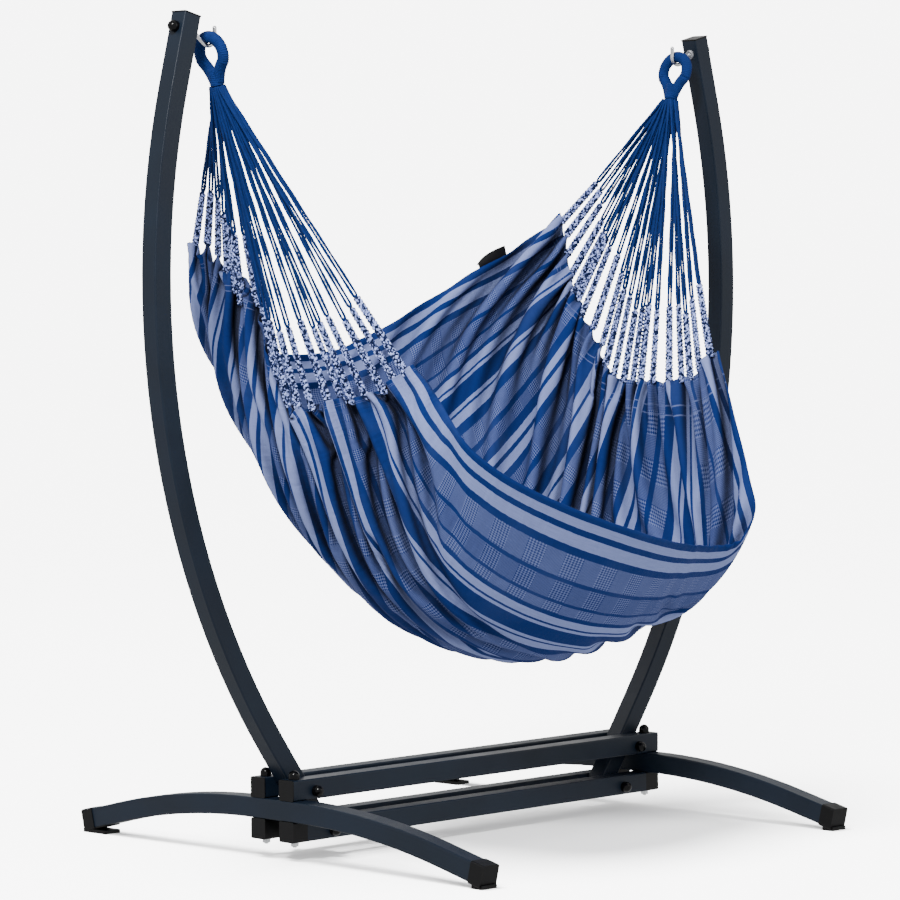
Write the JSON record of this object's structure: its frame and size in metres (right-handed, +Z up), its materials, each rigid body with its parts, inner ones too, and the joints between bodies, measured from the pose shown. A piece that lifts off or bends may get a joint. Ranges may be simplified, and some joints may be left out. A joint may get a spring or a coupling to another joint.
{
  "type": "hammock on stand",
  "caption": "Cloth hammock hung by cord fans from hooks at the tops of two C-shaped posts, on a base of straight beams and arched feet; the hammock swings fore and aft.",
  "frame": {"origin": "on the floor, midway between the posts and midway between the front and rear shoes", "axes": "+X from the left post to the right post, -Y towards the front where a person gets in, +Z up"},
  "size_m": [2.0398, 1.4206, 2.0193],
  "materials": {
    "frame_tube": "satin anthracite powder coat",
    "black_plastic": "moulded",
    "gloss_plastic": "polished",
    "shoe_rubber": "moulded",
    "zinc_steel": "zinc plated",
    "hook_steel": "zinc plated",
    "sling_cloth": "woven stripes in blue and grey",
    "label_cloth": "woven",
    "eye_wrap": "wound yarn",
    "cord_yarn": "twisted yarn",
    "braid_yarn": "plaited yarn in blue and white"
  },
  "bodies": {
    "stand": {"cross_bolt_dome_covers": "gloss_plastic", "cross_bolt_nuts": "zinc_steel", "front_lower_beam": "frame_tube", "front_lower_beam_left_end_block": "black_plastic", "front_lower_beam_right_end_block": "black_plastic", "front_upper_beam": "frame_tube", "front_upper_beam_left_end_cap": "black_plastic", "front_upper_beam_right_end_cap": "black_plastic", "hook_dome_covers": "gloss_plastic", "hook_nuts": "zinc_steel", "hook_washers": "zinc_steel", "left_foot": "frame_tube", "left_foot_front_shoe": "shoe_rubber", "left_foot_rear_shoe": "shoe_rubber", "left_front_upright_bolt": "zinc_steel", "left_hook": "hook_steel", "left_lower_cross_bolt": "zinc_steel", "left_post": "frame_tube", "left_post_bottom_plug": "black_plastic", "left_post_top_cap": "black_plastic", "left_rear_upright_bolt": "zinc_steel", "left_upper_cross_bolt": "zinc_steel", "rear_lower_beam": "frame_tube", "rear_lower_beam_left_end_block": "black_plastic", "rear_lower_beam_right_end_block": "black_plastic", "rear_upper_beam": "frame_tube", "rear_upper_beam_left_end_cap": "black_plastic", "rear_upper_beam_right_end_cap": "black_plastic", "right_foot": "frame_tube", "right_foot_front_shoe": "shoe_rubber", "right_foot_rear_shoe": "shoe_rubber", "right_front_upright_bolt": "zinc_steel", "right_hook": "hook_steel", "right_lower_cross_bolt": "zinc_steel", "right_post": "frame_tube", "right_post_bottom_plug": "black_plastic", "right_post_top_cap": "black_plastic", "right_rear_upright_bolt": "zinc_steel", "right_upper_cross_bolt": "zinc_steel", "upright_bolt_dome_covers": "gloss_plastic", "upright_bolt_nuts": "zinc_steel", "upright_bolt_washers": "zinc_steel"},
    "hammock": {"sling": "sling_cloth", "label_tag": "label_cloth", "left_eye": "eye_wrap", "right_eye": "eye_wrap", "left_cords": "cord_yarn", "right_cords": "cord_yarn", "left_braids": "braid_yarn", "right_braids": "braid_yarn"}
  },
  "joints": [
    {"name": "hammock_swing", "type": "hinge", "parent": "stand", "child": "hammock", "pos_m": [0, 0, 1.94], "axis": [1, 0, 0], "range_deg": [-25, 25]}
  ]
}
